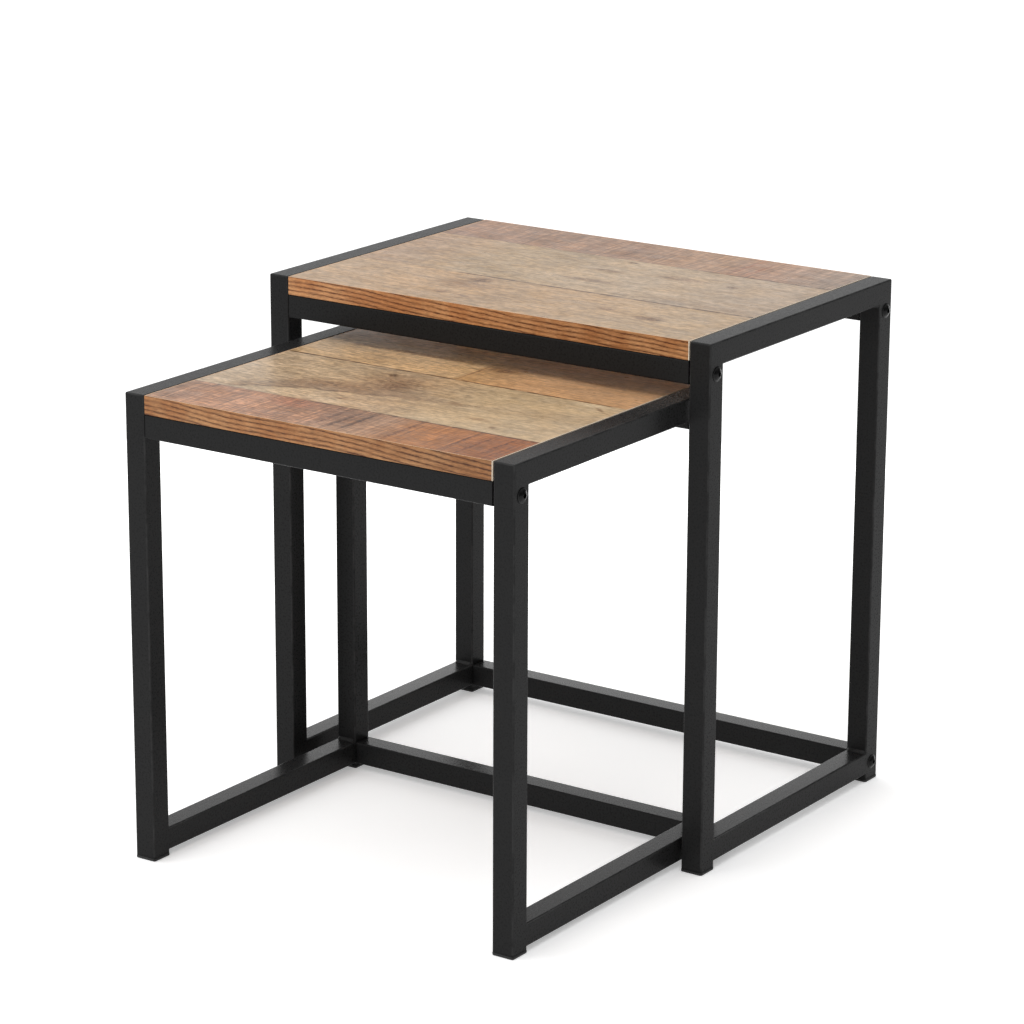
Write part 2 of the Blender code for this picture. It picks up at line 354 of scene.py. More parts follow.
def flame(graph, colour, points, seed):
    """A cathedral-grain line through (u, v) points, with a soft brown shade behind it."""
    reach_u, reach_v = points[-1][0], FLAME_REACH
    first, last = points[1][0], points[3][0]    # between these the line is at its clearest
    stops = [(u / reach_u, (v / reach_v,) * 3 + (1,)) for u, v in points]
    height = graph.ramp(graph.math("DIVIDE", graph.u, reach_u), stops, "LINEAR")
    wave = graph.fade(graph.noise((24, 24, 24), 3.0, 0.6, seed), 0.2, 0.8, -4, 4)
    off = graph.math("SUBTRACT", graph.total(graph.v, wave), graph.product(height, reach_v))
    inside = graph.fade(graph.u, first - 8, first + 8)
    shade = graph.product(graph.fade(off, -1.0, 1.5), graph.fade(off, 4, 34, 1.0, 0.0))
    strength = graph.product(inside, graph.fade(graph.u, last - 30, last + 60, 1.0, 0.25))
    colour = graph.mix(graph.product(shade, strength, 0.75), colour,
                       graph.tinted(colour, SHADE_TINT))
    line = graph.product(inside, graph.fade(graph.u, last - 60, last, 0.6, 0.05))
    return thin_line(graph, colour, off, FLAME_WIDTH, line, seed + 1)


def top_print_and_painted_light(name, size, spec, seed):
    """The printed face of a board, with the painted shade and painted reflection that its spec
    sets among the marks and tones.
    """
    graph = Graph(name, specular=0.16)
    colour, sawn = planks(graph, size, spec, seed)
    figure = graph.fade(graph.u, *spec["figure"])
    colour, fibre = grain(graph, colour, sawn, figure, seed)
    place = graph.wobble((14, 9, 9), 3.0, seed + 17)
    mottle = graph.fade(graph.noise((5, 3, 3), 4.0, 0.65, seed + 18), 0.38, 0.56, 0.35, 1.0)
    for mark in spec["marks"]:
        inside = graph.spot(place, *mark["at"], *mark["size"],
                            mark.get("turn", 0), mark.get("soft", MARK_SOFTNESS))
        colour = graph.mix(graph.product(inside, mottle), colour,
                           graph.tinted(colour, (*mark["tint"], 1.0)))
    if "flame" in spec:
        colour = flame(graph, colour, spec["flame"], seed + 50)
    for number, joint in enumerate(spec["joints"]):
        colour = joint_line(graph, colour, joint, seed + 20 + 2 * number)
    graph.set("Base Color", colour)
    gloss = graph.noise((30, 12, 12), 4.0, 0.6, seed + 31)
    graph.set("Roughness", graph.fade(gloss, 0.3, 0.7, 0.27, 0.39))
    graph.bump(fibre, 0.3, 0.0001)
    return graph.material


# Sizes on the print.
PLANK_BLUR = 0.3           # half the step from one plank's colour to the next
JOINT_WAVE = 0.8
JOINT_WIDTH = 1.3
FLAME_WIDTH = 2.2
FLAME_REACH = 200.0        # beyond the line's highest point
MARK_SOFTNESS = 0.6        # of a mark's size, over which it fades out
STREAK_PITCH = 4.3
STREAK_SLOPE = 0.042       # how fast the streaks on the edge bands drop

# Tints, each multiplied with the colour below it.
WARM_TINT = (1.03, 1.0, 0.95, 1)
COOL_TINT = (0.98, 1.0, 1.04, 1)
LINE_TINT = (0.25, 0.18, 0.13, 1)
SHADE_TINT = (0.62, 0.56, 0.54, 1)
# The next two tints also darken painted shadow on the small board, along the big table's front
# edge.
KNOT_AND_SHADOW = (0.35, 0.26, 0.20)
SMUDGE_AND_SHADOW = (0.56, 0.49, 0.46)
STAIN = (0.70, 0.63, 0.58)
CLOUD = (0.8, 0.78, 0.77)
RUST = (0.8, 0.5, 0.4)
PALE = (1.35, 1.42, 1.5)
SALMON = (1.12, 0.88, 0.80)
RUBBED = (1.14, 1.16, 1.18)

# What is printed on each board, with some painted shade and a painted reflection among the marks
# and tones. Planks: where each starts, how strongly it is saw-marked, and its colours as (u,
# screen colour). Figure: from u, to u, and the grain's strength at both.
# Marks: soft ellipses, each with its middle and its half lengths, and its turn in degrees.
SMALL_PRINT_AND_PAINTED_SHADE = {
    "edge_shade": 0.60,
    "figure": (150, 300, 1.5, 1.0),
    "planks": [
        {"front": 0, "sawn": 1.0,
         "tones": [(0, (155, 115, 87)), (60, (170, 121, 88)), (160, (151, 108, 79)),
                   (180, (158, 119, 91)), (203, (150, 111, 82)), (215, (164, 124, 94)),
                   (262, (158, 103, 56)), (368, (143, 84, 42))]},
        {"front": 68.5, "sawn": 0.12,
         "tones": [(0, (179, 155, 127)), (70, (175, 148, 115)), (170, (174, 144, 110)),
                   (260, (180, 154, 119)), (368, (184, 159, 126))]},
        {"front": 202, "sawn": 0.2,
         "tones": [(0, (180, 148, 109)), (180, (200, 162, 117)), (186, (187, 145, 99)),
                   (260, (194, 149, 106)), (368, (184, 142, 102))]},
    ],
    "joints": [{"at": 68.5, "from": 130, "to": 400, "faint": 0.2},
               {"at": 202, "from": 0, "to": 352, "faint": 0.1}],
    "flame": [(0, 70), (34, 72), (96, 104), (184, 120), (300, 132), (380, 150)],
    "marks": [
        {"at": (150, 160), "size": (30, 24), "tint": SMUDGE_AND_SHADOW, "soft": 0.7},
        {"at": (158, 150), "size": (12, 12), "tint": STAIN, "soft": 0.7},
        {"at": (87, 121), "size": (30, 14), "turn": 24, "tint": STAIN, "soft": 0.8},
        {"at": (120, 128), "size": (34, 12), "turn": 10, "tint": STAIN, "soft": 0.8},
        {"at": (134, 182), "size": (5, 4), "tint": KNOT_AND_SHADOW},
        {"at": (146, 92), "size": (5, 4), "tint": SMUDGE_AND_SHADOW},
        {"at": (140, 79), "size": (13, 8), "tint": PALE},
        {"at": (118, 84), "size": (6, 5), "tint": PALE},
        {"at": (281, 101), "size": (10, 4), "tint": STAIN},
        {"at": (306, 86), "size": (3, 3), "tint": SMUDGE_AND_SHADOW},
        {"at": (237, 132), "size": (9, 4), "turn": -20, "tint": STAIN},
        {"at": (334, 196), "size": (15, 5), "tint": PALE},
        {"at": (350, 186), "size": (14, 2.0), "turn": -35, "tint": SMUDGE_AND_SHADOW},
        # The next five marks: dark stains along the line where the big table's shadow falls,
        # partly stain and partly painted shadow deepening that edge.
        {"at": (204, 252), "size": (14, 7), "tint": KNOT_AND_SHADOW},
        {"at": (222, 264), "size": (18, 7), "tint": SMUDGE_AND_SHADOW},
        {"at": (110, 260), "size": (60, 5), "tint": KNOT_AND_SHADOW, "soft": 0.9},
        {"at": (300, 262), "size": (50, 5), "tint": SMUDGE_AND_SHADOW, "soft": 0.9},
        {"at": (41, 260), "size": (10, 5), "tint": SMUDGE_AND_SHADOW},
        {"at": (122, 56), "size": (20, 13), "tint": SALMON, "soft": 0.7},
        {"at": (186, 40), "size": (20, 22), "tint": STAIN, "soft": 0.8},
        {"at": (120, 6), "size": (150, 7), "tint": RUBBED, "soft": 0.7},
        {"at": (26, 34), "size": (1.2, 36), "tint": SMUDGE_AND_SHADOW},
        {"at": (176, 38), "size": (1.9, 32), "tint": KNOT_AND_SHADOW},
        {"at": (190, 34), "size": (1.5, 28), "tint": KNOT_AND_SHADOW},
        {"at": (204, 40), "size": (1.9, 32), "tint": KNOT_AND_SHADOW},
        {"at": (251, 32), "size": (1.7, 36), "tint": KNOT_AND_SHADOW},
        {"at": (310, 36), "size": (1.2, 32), "tint": KNOT_AND_SHADOW},
        {"at": (327, 30), "size": (2.1, 36), "tint": KNOT_AND_SHADOW},
        {"at": (346, 40), "size": (1.3, 26), "tint": KNOT_AND_SHADOW},
        {"at": (356, 34), "size": (1.3, 30), "tint": SMUDGE_AND_SHADOW},
        {"at": (336, 34), "size": (1.2, 30), "tint": RUBBED},
        {"at": (198, 34), "size": (1.4, 30), "tint": RUBBED},
        {"at": (185, 236), "size": (1.3, 26), "tint": SMUDGE_AND_SHADOW},
    ],
}

BIG_PRINT_AND_PAINTED_REFLECTION = {
    "edge_shade": 0.88,
    "figure": (100, 420, 1.35, 1.15),
    "planks": [
        # Front plank: darker and browner from u 140 to 220, partly its own tone, partly a painted
        # reflection of dark pots, which are not modelled.
        {"front": 0, "sawn": 0.08,
         "tones": [(0, (175, 145, 113)), (140, (168, 135, 99)), (220, (168, 137, 103)),
                   (434, (169, 142, 110))]},
        {"front": 106, "sawn": 0.1,
         "tones": [(0, (166, 134, 104)), (130, (162, 136, 104)), (256, (174, 149, 120)),
                   (434, (163, 140, 116))]},
        {"front": 241, "sawn": 0.95,
         "tones": [(0, (150, 114, 90)), (150, (152, 116, 90)), (300, (160, 123, 93)),
                   (326, (162, 122, 94)), (434, (148, 125, 107))]},
    ],
    "joints": [{"at": 106, "from": 120, "to": 450, "faint": 0.2, "wide": 1.6},
               {"at": 241, "from": 300, "to": 460, "faint": 0.2}],
    "marks": [
        {"at": (360, 119), "size": (90, 9), "tint": CLOUD, "soft": 0.8},
        {"at": (361, 50), "size": (14, 7), "tint": KNOT_AND_SHADOW},
        {"at": (311, 60), "size": (9, 5), "tint": SMUDGE_AND_SHADOW},
        {"at": (153, 89), "size": (10, 9), "tint": KNOT_AND_SHADOW},
        {"at": (150, 68), "size": (26, 12), "tint": STAIN, "soft": 0.9},
        {"at": (176, 29), "size": (12, 2.4), "turn": -12, "tint": SMUDGE_AND_SHADOW},
        {"at": (149, 33), "size": (8, 5), "tint": SMUDGE_AND_SHADOW},
        {"at": (300, 200), "size": (24, 7), "tint": SMUDGE_AND_SHADOW},
        {"at": (356, 197), "size": (6, 4), "tint": KNOT_AND_SHADOW},
        {"at": (226, 233), "size": (5, 3), "tint": KNOT_AND_SHADOW},
        {"at": (225, 192), "size": (15, 4), "tint": SMUDGE_AND_SHADOW},
        {"at": (235, 148), "size": (26, 5), "tint": SMUDGE_AND_SHADOW, "soft": 0.8},
        {"at": (323, 278), "size": (1.2, 34), "tint": RUST},
        {"at": (339, 272), "size": (1.2, 30), "tint": RUST},
        {"at": (160, 278), "size": (3.0, 34), "tint": STAIN},
        {"at": (200, 278), "size": (8.0, 34), "tint": STAIN},
        {"at": (235, 276), "size": (1.5, 30), "tint": SMUDGE_AND_SHADOW},
    ],
}


def edge_print(name, shade, seed):
    """Edge band: brown streaks on pale orange wood, sloping down a little to the right."""
    graph = Graph(name, specular=0.25)
    drift = graph.noise((150, 150, 60), 2.0, 0.5, seed)
    jitter = graph.noise((12, 12, 1.6), 4.0, 0.65, seed + 2)
    depth = graph.noise((38, 38, 2.6), 2.0, 0.5, seed + 4)
    hair = graph.noise((22, 22, 0.9), 3.0, 0.6, seed + 6)
    fibre = graph.noise((5, 5, 0.9), 4.0, 0.65, seed + 7)
    cloud = graph.noise((40, 40, 40), 3.0, 0.6, seed + 8)

    fall = graph.product(graph.total(graph.u, graph.v), STREAK_SLOPE)
    waves = graph.total(graph.fade(drift, 0.2, 0.8, -3.0, 3.0),
                        graph.fade(jitter, 0.2, 0.8, -0.7, 0.7))
    height = graph.total(graph.total(graph.w, fall), waves)
    off = graph.math("PINGPONG", graph.math("DIVIDE", height, STREAK_PITCH), 0.5)
    line = graph.product(graph.fade(off, 0.04, 0.17, 1.0, 0.0),
                         graph.fade(depth, 0.34, 0.54, 0.55, 1.0))
    streaks = graph.math("MAXIMUM", line, graph.fade(off, 0.10, 0.42, 0.42, 0.0))

    pale = graph.mix(graph.fade(cloud, 0.38, 0.62), linear(210, 152, 100), linear(190, 127, 75))
    colour = graph.mix(streaks, pale, linear(96, 50, 22))
    colour = graph.gained(colour, graph.fade(graph.u, 180, 330, shade, 0.83 * shade))
    colour = graph.gained(colour, graph.fade(hair, 0.36, 0.50, 0.72, 1.05))
    colour = graph.gained(colour, graph.fade(fibre, 0.35, 0.65, 0.82, 1.18))
    normal = graph.tree.nodes.new("ShaderNodeNewGeometry").outputs["Normal"]
    faces_up = graph.fade(graph.split(normal)[2], 0.5, 0.9)
    graph.set("Base Color", graph.mix(faces_up, colour, linear(206, 172, 138)))
    graph.set("Roughness", graph.fade(fibre, 0.2, 0.8, 0.38, 0.48))
    graph.bump(fibre, 0.15, 0.0001)
    return graph.material


def end_print():
    """Pale, plain band on the board's right end."""
    graph = Graph("board_end_band", specular=0.4)
    cloud = graph.noise((12, 12, 4), 3.0, 0.6, 61)
    graph.set("Base Color", graph.mix(cloud, linear(206, 190, 168), linear(222, 208, 190)))
    graph.set("Roughness", graph.fade(cloud, 0.2, 0.8, 0.42, 0.52))
    graph.bump(cloud, 0.1, 0.0001)
    return graph.material


def backing_paper():
    """Plain brown balancing paper under the boards."""
    graph = Graph("board_backing", specular=0.4)
    fibre = graph.noise((26, 1.6, 1.6), 4.0, 0.6, 71)
    cloud = graph.noise((50, 50, 50), 3.0, 0.5, 73)
    colour = graph.mix(cloud, linear(112, 84, 60), linear(126, 96, 70))
    graph.set("Base Color", graph.gained(colour, graph.fade(fibre, 0.2, 0.8, 0.88, 1.1)))
    graph.set("Roughness", graph.fade(fibre, 0.2, 0.8, 0.5, 0.6))
    graph.bump(fibre, 0.1, 0.0001)
    return graph.material


def powder_coat():
    """Satin black powder coat: fine orange peel, a faint speckle, slightly rubbed edges."""
    graph = Graph("black_powder_coat", specular=0.06)
    peel = graph.noise((0.9, 0.9, 0.9), 2.0, 0.5, 81)
    cloud = graph.noise((45, 45, 45), 4.0, 0.6, 83)
    speck = graph.noise((1.8, 1.8, 1.8), 2.0, 0.5, 85)
    coat = graph.mix(cloud, (0.0132, 0.0132, 0.0134, 1), (0.0162, 0.0162, 0.0162, 1))
    coat = graph.gained(coat, graph.fade(speck, 0.3, 0.7, 0.92, 1.08))
    graph.set("Base Color", graph.worn(coat, (0.040, 0.040, 0.040, 1), (18, 18, 18), 0.7))
    graph.set("Roughness", graph.fade(speck, 0.3, 0.7, 0.25, 0.35))
    graph.bump(peel, 0.15, 0.00009)
    return graph.material


def bolt_finish():
    """Black oxide on the bolts, oily and a little glossier than the tubes."""
    graph = Graph("black_bolt", specular=0.16)
    cloud = graph.noise((2.5, 2.5, 2.5), 3.0, 0.6, 91)
    colour = graph.mix(cloud, (0.0015, 0.0015, 0.0015, 1), (0.004, 0.004, 0.004, 1))
    graph.set("Base Color", colour)
    graph.set("Roughness", graph.fade(cloud, 0.2, 0.8, 0.20, 0.32))
    graph.bump(cloud, 0.1, 0.00005)
    return graph.material


def zinc_finish():
    """Zinc plate: bright grey with faint brushed clouds."""
    graph = Graph("zinc_plated_steel", metallic=1.0)
    cloud = graph.noise((3, 3, 3), 4.0, 0.6, 101)
    graph.set("Base Color", graph.mix(cloud, (0.50, 0.50, 0.48, 1), (0.66, 0.66, 0.65, 1)))
    graph.set("Roughness", graph.fade(cloud, 0.2, 0.8, 0.26, 0.42))
    graph.bump(cloud, 0.15, 0.00005)
    return graph.material


def foot_plastic():
    """Matte moulded black plastic."""
    graph = Graph("foot_plastic", specular=0.4)
    stipple = graph.noise((0.5, 0.5, 0.5), 2.0, 0.5, 111)
    cloud = graph.noise((9, 9, 9), 2.0, 0.5, 113)
    graph.set("Base Color", graph.mix(cloud, (0.007, 0.007, 0.007, 1), (0.012, 0.012, 0.012, 1)))
    graph.set("Roughness", graph.fade(stipple, 0.2, 0.8, 0.55, 0.68))
    graph.bump(stipple, 0.2, 0.00008)
    return graph.material


# Shapes ------------------------------------------------------------------

def finished(name, bm, material):
    """A mesh from a bmesh, smooth but for its sharp edges."""
    mesh = bpy.data.meshes.new(name)
    bm.to_mesh(mesh)
    bm.free()
    mesh.materials.append(material)
    mesh.shade_smooth()
    mesh.set_sharp_from_angle(angle=SMOOTH_ANGLE)
    return mesh


def piece(name, bm, material, table, location=(0, 0, 0)):
    """A finished piece of a table from a bmesh, with its edges marked for wear."""
    mesh = finished(name, bm, material)
    mark_edges(mesh)
    return placed(name, mesh, table, Matrix.Translation(location))


def mark_edges(mesh):
    """Points on a rounded edge, touching no face that is square to an axis, can wear."""
    wear = [1.0] * len(mesh.vertices)
    for face in mesh.polygons:
        if max(abs(part) for part in face.normal) > 0.9999:
            for index in face.vertices:
                wear[index] = 0.0
    mesh.attributes.new(EDGE_WEAR, "FLOAT", "POINT").data.foreach_set("value", wear)


def placed(name, mesh, table, matrix):
    """An object that rides on its table's body."""
    body = f"{table}_table"
    obj = bpy.data.objects.new(name, mesh)
    obj.matrix_world = matrix
    bpy.context.scene.collection.objects.link(obj)
    flat = obj.modifiers.new("flat_faces_stay_flat", "WEIGHTED_NORMAL")
    flat.keep_sharp = True
    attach(obj, body)
    return obj


def cube(low, high):
    """A box between two opposite corners."""
    low, high = Vector(low), Vector(high)
    bm = bmesh.new()
    bmesh.ops.create_cube(bm, size=1.0)
    bmesh.ops.scale(bm, vec=high - low, verts=bm.verts)
    bmesh.ops.translate(bm, vec=(low + high) / 2, verts=bm.verts)
    return bm


def soften(bm, radius, segments, wanted=lambda edge: True):
    """Round the wanted edges."""
    edges = [edge for edge in bm.edges if wanted(edge)]
    bmesh.ops.bevel(bm, geom=edges, offset=radius, segments=segments, profile=0.5,
                    affect="EDGES", clamp_overlap=True)


def upright(edge):
    direction = (edge.verts[1].co - edge.verts[0].co).normalized()
    return abs(direction.z) > 0.99


def skin(bm, rings):
    """Faces between each closed ring of vertices and the next."""
    for first, second in zip(rings, rings[1:]):
        for index in range(len(first)):
            after = (index + 1) % len(first)
            bm.faces.new((first[index], first[after], second[after], second[index]))


def side_frame(table, side):
    """Welded ring of square tube, with a leg below each end of its lowest tube."""
    node = f"{table}_{side}_side_frame"
    low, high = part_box(node)
    tube = high.x - low.x
    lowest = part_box(f"{table}_rear_stretcher")[0].z
    stops_y = (low.y, low.y + tube, high.y - tube, high.y)
    stops_z = (low.z, lowest, lowest + tube, high.z - tube, high.z)
    bm = bmesh.new()
    grid = [[bm.verts.new((low.x, y, z)) for z in stops_z] for y in stops_y]
    filled = [(0, row) for row in range(4)] + [(2, row) for row in range(4)] + [(1, 1), (1, 3)]
    for column, row in filled:
        bm.faces.new((grid[column][row], grid[column][row + 1],
                      grid[column + 1][row + 1], grid[column + 1][row]))
    bmesh.ops.delete(bm, geom=[v for v in bm.verts if not v.link_faces], context="VERTS")
    grown = bmesh.ops.extrude_face_region(bm, geom=bm.faces[:])["geom"]
    moved = [item for item in grown if isinstance(item, bmesh.types.BMVert)]
    bmesh.ops.translate(bm, vec=(tube, 0, 0), verts=moved)
    bmesh.ops.recalc_face_normals(bm, faces=bm.faces)

    def long_edge(edge):
        at_foot = all(abs(vert.co.z - low.z) < 1e-6 for vert in edge.verts)
        return edge.is_convex and not at_foot and edge.calc_face_angle(0) > EDGE_ANGLE

    soften(bm, TUBE_CORNER, CORNER_SEGMENTS, long_edge)
    obj = piece(f"{table}_{side}_tube_frame", bm, coat, table)
    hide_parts(node)
    for end, y, way in (("front", low.y + tube, 1), ("rear", high.y - tube, -1)):
        for level, z, up in (("lower", lowest + tube, 1), ("upper", high.z - tube, -1)):
            weld(f"{table}_{side}_weld_{end}_{level}", table, (low.x, high.x), y, z, way, up)


def weld(name, table, ends_x, y, z, way, up):
    """Fillet weld along X in a window corner; its face ripples with each puddle."""
    inset = TUBE_CORNER * WELD_INSET
    start, end = ends_x[0] + inset, ends_x[1] - inset
    steps = round((end - start) / (WELD_PITCH / WELD_STEPS))
    bm = bmesh.new()
    rings = []
    for step in range(steps + 1):
        share = step / steps
        taper = min(1.0, WELD_END_SIZE + WELD_SWELL * math.sin(math.pi * share))
        ripple = WELD_RIPPLE * math.cos(math.tau * share * (end - start) / WELD_PITCH)
        leg = WELD_LEG * taper + ripple
        x = start + share * (end - start)
        profile = [(-WELD_ROOT, -WELD_ROOT), (leg, -WELD_ROOT),
                   (leg * 0.93, leg * 0.16), (leg * 0.50, leg * 0.50), (leg * 0.16, leg * 0.93),
                   (-WELD_ROOT, leg)]
        rings.append([bm.verts.new((x, y + way * a, z + up * b)) for a, b in profile])
    skin(bm, rings)
    bm.faces.new(rings[0])
    bm.faces.new(rings[-1])
    bmesh.ops.recalc_face_normals(bm, faces=bm.faces)
    piece(name, bm, coat, table)


def cross_tube(table, spot):
    """Square tube along X, hollow and open at its ends."""
    node = f"{table}_{spot}"
    low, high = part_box(node)
    bm = bmesh.new()
    turns = ((low.x, TUBE_WALL), (low.x, 0.0), (high.x, 0.0), (high.x, TUBE_WALL))
    rings = [tube_section(bm, x, low, high, inset) for x, inset in turns]
    skin(bm, rings + rings[:1])
    bmesh.ops.recalc_face_normals(bm, faces=bm.faces)
    obj = piece(f"{node}_tube", bm, coat, table)
    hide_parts(node)


def tube_section(bm, x, low, high, inset):
    """A rounded square in the plane of X, inset from the tube's outside."""
    radius = max(TUBE_CORNER - inset, TUBE_INNER_CORNER)
    corners = ((high.y, high.z, 0), (low.y, high.z, 90), (low.y, low.z, 180), (high.y, low.z, 270))
    middle_y, middle_z = (low.y + high.y) / 2, (low.z + high.z) / 2
    verts = []
    for y, z, start in corners:
        centre_y = y - math.copysign(inset + radius, y - middle_y)
        centre_z = z - math.copysign(inset + radius, z - middle_z)
        for step in range(CORNER_SEGMENTS + 1):
            angle = math.radians(start + 90 * step / CORNER_SEGMENTS)
            verts.append(bm.verts.new((x, centre_y + radius * math.cos(angle),
                                       centre_z + radius * math.sin(angle))))
    return verts


def board(table, spec, seed):
    """Printed panel with a band along each of its four edges."""
    node = f"{table}_board"
    low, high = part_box(node)
    size = high - low
    corner = (low.x, low.y, high.z)
    depth = size.z
    top = top_print_and_painted_light(f"{table}_board_print_and_painted_light", size, spec, seed)
    bm = cube((BAND, BAND, -depth), (size.x - BAND, size.y - BAND, 0))
    soften(bm, BAND_ARRIS, ARRIS_SEGMENTS)
    panel = piece(f"{table}_board_panel", bm, top, table, corner)
    panel.data.materials.append(backing)
    for face in panel.data.polygons:
        faces_down = face.normal.z < -0.5
        face.material_index = 1 if faces_down else 0
    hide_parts(node)
    streaks = edge_print(f"{table}_edge_print", spec["edge_shade"], seed + 40)
    bands = {
        "front": ((0, 0, -depth), (size.x - BAND, BAND, 0), streaks),
        "rear": ((BAND, size.y - BAND, -depth), (size.x, size.y, 0), streaks),
        "left": ((0, BAND, -depth), (BAND, size.y, 0), streaks),
        "right": ((size.x - BAND, 0, -depth), (size.x, size.y - BAND, 0), pale_band),
    }
    for where, (start, end, material) in bands.items():
        bm = cube(start, end)
        soften(bm, BAND_ARRIS, ARRIS_SEGMENTS)
        piece(f"{table}_board_{where}_band", bm, material, table, corner)


def turned(profile, segments):
    """Closed solid turned about Z from (radius, height) points, the first and last on the axis."""
    bm = bmesh.new()
    verts = [bm.verts.new((radius, 0, height)) for radius, height in profile]
    edges = [bm.edges.new(pair) for pair in zip(verts, verts[1:])]
    bmesh.ops.spin(bm, geom=verts + edges, cent=(0, 0, 0), axis=(0, 0, 1), angle=math.tau,
                   steps=segments, use_merge=True)
    bmesh.ops.remove_doubles(bm, verts=bm.verts, dist=1e-7)
    bmesh.ops.recalc_face_normals(bm, faces=bm.faces)
    return bm


def cut(bm, tools):
    """The bmesh with each tool's bmesh cut out of it."""
    blanks = []
    for number, shape in enumerate([bm, *tools]):
        mesh = bpy.data.meshes.new(f"blank_{number}")
        shape.to_mesh(mesh)
        shape.free()
        obj = bpy.data.objects.new(f"blank_{number}", mesh)
        bpy.context.scene.collection.objects.link(obj)
        blanks.append(obj)
    for tool in blanks[1:]:
        modifier = blanks[0].modifiers.new("cut", "BOOLEAN")
        modifier.object = tool
        modifier.solver = "EXACT"
    evaluated = blanks[0].evaluated_get(bpy.context.evaluated_depsgraph_get())
    result = bmesh.new()
    result.from_mesh(evaluated.data)
    for obj in blanks:
        mesh = obj.data
        bpy.data.objects.remove(obj)
        bpy.data.meshes.remove(mesh)
    return result


def dome(radius, rim, rise):
    """Profile of a low dome, from its crown down to the foot of its rim."""
    sphere = (radius ** 2 + rise ** 2) / (2 * rise)
    widest = math.asin(radius / sphere)
    angles = [widest * step / DOME_STEPS for step in range(DOME_STEPS + 1)]
    crown = [(sphere * math.sin(angle), rim + rise - sphere * (1 - math.cos(angle)))
             for angle in angles]
    return crown + [(radius, 0)]


def bolts(table):
    """A bolt through the leg at each end of each cross tube, its crown outwards."""
    for spot in CROSS_TUBES:
        for side, sign in SIDES.items():
            node = f"{table}_{spot}_bolt_{side}"
            low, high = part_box(node)
            middle = (low + high) / 2
            outer = high.x if sign > 0 else low.x
            matrix = (Matrix.Translation((outer, middle.y, middle.z))
                      @ Matrix.Rotation(sign * math.pi / 2, 4, "Y"))
            obj = placed(f"{table}_{spot}_bolt_head_{side}", bolt_mesh, table,
                         matrix)
            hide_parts(node)


def bolt_shape():
    """Bolt with its crown at Z = 0: flanged dome, hexagon socket, plain shank."""
    low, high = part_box("big_front_rail_bolt_right")
    radius = (high.z - low.z) / 2
    length = high.x - low.x
    head = high.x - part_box("big_right_side_frame")[1].x
    crown = dome(radius * BOLT_DOME_SHARE, BOLT_FLANGE, head - BOLT_FLANGE)[:-1]
    profile = [(r, h - head) for r, h in crown]
    profile += [(radius * 0.90, BOLT_FLANGE - head), (radius, BOLT_RIM - head),
                (radius, BOLT_SEAT - head), (radius * 0.97, -head),
                (BOLT_SHANK, -head), (BOLT_SHANK, BOLT_POINT - length),
                (BOLT_SHANK - BOLT_POINT, -length), (0, -length)]
    hexagon = bmesh.new()
    bmesh.ops.create_cone(hexagon, cap_ends=True, segments=6, depth=2 * SOCKET_DEPTH,
                          radius1=SOCKET_FLATS / math.sqrt(3), radius2=SOCKET_FLATS / math.sqrt(3))
    countersink = bmesh.new()
    bmesh.ops.create_cone(countersink, cap_ends=True, segments=BOLT_SEGMENTS, depth=SOCKET_CHAMFER,
                          radius1=SOCKET_FLATS * 0.42, radius2=SOCKET_FLATS * 0.78)
    solid = cut(turned(profile, BOLT_SEGMENTS), [hexagon, countersink])
    return finished("bolt", solid, black_bolt)


def screw_shape():
    """Board screw with its crown at Z = 0: pan head, cross recess, threaded shank."""
    low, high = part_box("big_board_screw_front_left")
    radius = (high.x - low.x) / 2
    length = high.z - low.z
    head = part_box("big_front_rail")[0].z - low.z
    profile = [(r, h - head) for r, h in dome(radius, SCREW_RIM, head - SCREW_RIM)]
    profile.append((SCREW_SHANK, -head))
    height, thread_end = -head - SCREW_PLAIN, SCREW_POINT - length
    while height - THREAD_PITCH > thread_end:
        profile += [(SCREW_CORE, height), (SCREW_CORE, height - 0.6 * THREAD_PITCH),
                    (SCREW_SHANK, height - 0.8 * THREAD_PITCH)]
        height -= THREAD_PITCH
    profile += [(SCREW_CORE, thread_end), (0, -length)]
    recess = [cube((-x, -y, -RECESS_DEPTH), (x, y, 0.001))
              for x, y in ((RECESS_LONG, RECESS_WIDE), (RECESS_WIDE, RECESS_LONG))]
    return finished("board_screw", cut(turned(profile, SCREW_SEGMENTS), recess), zinc)


def board_screws(table):
    """Screws up through the front and rear rails, their crowns down."""
    for end in ENDS:
        for side in SIDES:
            node = f"{table}_board_screw_{end}_{side}"
            low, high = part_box(node)
            middle = (low + high) / 2
            matrix = (Matrix.Translation((middle.x, middle.y, low.z))
                      @ Matrix.Rotation(math.pi, 4, "X"))
            obj = placed(f"{node}_piece", screw_mesh, table, matrix)
            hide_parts(node)


def feet(table):
    """Foot caps: a low plug with rounded corners, arrised below and dished underneath."""
    for end in ENDS:
        for side in SIDES:
            node = f"{table}_foot_{end}_{side}"
            low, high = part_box(node)
            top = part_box(f"{table}_{side}_side_frame")[0].z - FOOT_GAP
            bm = cube((low.x, low.y, 0), (high.x, high.y, top))
            soften(bm, FOOT_CORNER, CORNER_SEGMENTS, upright)
            soften(bm, FOOT_ARRIS, ARRIS_SEGMENTS,
                   lambda edge: edge.calc_face_angle(0) > EDGE_ANGLE)
            sole = min(bm.faces, key=lambda face: (round(face.calc_center_median().z, 6),
                                                   -face.calc_area()))
            bmesh.ops.inset_region(bm, faces=[sole], thickness=SOLE_RIM, depth=0.0)
            bmesh.ops.inset_region(bm, faces=[sole], thickness=SOLE_SLOPE, depth=-SOLE_DISH)
            obj = piece(f"{node}_cap", bm, plastic, table)
            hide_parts(node)


